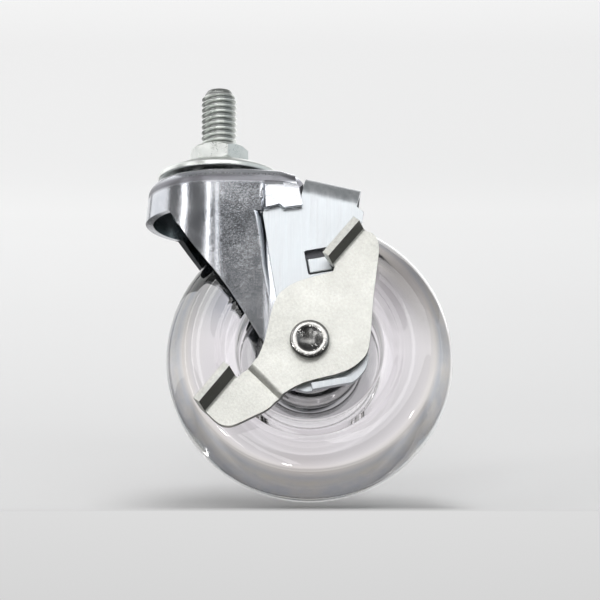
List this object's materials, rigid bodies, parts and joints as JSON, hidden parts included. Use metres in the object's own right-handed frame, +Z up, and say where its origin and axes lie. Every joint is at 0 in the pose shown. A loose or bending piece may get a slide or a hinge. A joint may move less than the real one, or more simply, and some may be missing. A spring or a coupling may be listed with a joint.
{
  "type": "swivel caster",
  "caption": "Threaded-stem swivel caster: clear roller wheel on ball bearings in a stamped fork with a side-lock brake lever and sliding shoe.",
  "frame": {"origin": "on the swivel axis in the plane of the stem's shoulder, where the hex collar meets the chair leg", "axes": "+Z up along the stem, +X from the swivel axis towards the axle, brake on the -Y side"},
  "size_m": [0.082, 0.0463, 0.1134],
  "materials": {
    "stem_zinc": "satin zinc plate",
    "fork_zinc": "bright zinc plate",
    "shoe_zinc": "bright zinc plate, faint vertical brushing",
    "lever_steel": "matte tumbled zinc with a sandy grain",
    "rivet_steel": "polished steel",
    "bearing_steel": "ground and polished",
    "shield_steel": "pressed steel",
    "clear_tyre": "clear cast polyurethane, very faint lavender",
    "clear_core": "clear moulded polycarbonate"
  },
  "bodies": {
    "stem": {"threaded_stem": "stem_zinc", "top_race_cap": "stem_zinc", "lower_race_cup": "fork_zinc", "upper_ball_01": "bearing_steel", "upper_ball_02": "bearing_steel", "upper_ball_03": "bearing_steel", "upper_ball_04": "bearing_steel", "upper_ball_05": "bearing_steel", "upper_ball_06": "bearing_steel", "upper_ball_07": "bearing_steel", "upper_ball_08": "bearing_steel", "upper_ball_09": "bearing_steel", "upper_ball_10": "bearing_steel", "upper_ball_11": "bearing_steel", "upper_ball_12": "bearing_steel", "lower_ball_01": "bearing_steel", "lower_ball_02": "bearing_steel", "lower_ball_03": "bearing_steel", "lower_ball_04": "bearing_steel", "lower_ball_05": "bearing_steel", "lower_ball_06": "bearing_steel", "lower_ball_07": "bearing_steel", "lower_ball_08": "bearing_steel", "lower_ball_09": "bearing_steel", "lower_ball_10": "bearing_steel"},
    "swivel_fork": {"fork": "fork_zinc", "axle_rivet": "rivet_steel", "bearing_spacer": "rivet_steel", "axle_washer_near": "rivet_steel", "axle_washer_far": "rivet_steel", "near_bearing_inner_race": "bearing_steel", "far_bearing_inner_race": "bearing_steel"},
    "wheel": {"wheel_tyre": "clear_tyre", "wheel_core": "clear_core", "near_bearing_outer_race": "bearing_steel", "far_bearing_outer_race": "bearing_steel", "near_bearing_shield": "shield_steel", "far_bearing_shield": "shield_steel", "near_bearing_ball_1": "bearing_steel", "near_bearing_ball_2": "bearing_steel", "near_bearing_ball_3": "bearing_steel", "near_bearing_ball_4": "bearing_steel", "near_bearing_ball_5": "bearing_steel", "near_bearing_ball_6": "bearing_steel", "near_bearing_ball_7": "bearing_steel", "far_bearing_ball_1": "bearing_steel", "far_bearing_ball_2": "bearing_steel", "far_bearing_ball_3": "bearing_steel", "far_bearing_ball_4": "bearing_steel", "far_bearing_ball_5": "bearing_steel", "far_bearing_ball_6": "bearing_steel", "far_bearing_ball_7": "bearing_steel"},
    "lever": {"brake_lever": "lever_steel"},
    "shoe": {"brake_shoe": "shoe_zinc"}
  },
  "joints": [
    {"name": "swivel", "type": "hinge", "parent": "stem", "child": "swivel_fork", "pos_m": [0, 0, 0], "axis": [0, 0, 1], "continuous": true},
    {"name": "wheel_spin", "type": "hinge", "parent": "swivel_fork", "child": "wheel", "pos_m": [0.0243, 0, -0.0594], "axis": [0, 1, 0], "continuous": true},
    {"name": "lever_pivot", "type": "hinge", "parent": "swivel_fork", "child": "lever", "pos_m": [0.0243, -0.01925, -0.0594], "axis": [0, -1, 0], "range_deg": [0, 16]},
    {"name": "shoe_slide", "type": "slide", "parent": "swivel_fork", "child": "shoe", "axis": [0.1736, 0, -0.9848], "range_m": [0, 0.0018]}
  ],
  "couplings": [
    {"joint": "shoe_slide", "follows": "lever_pivot", "m_per_rad": 0.00644}
  ]
}
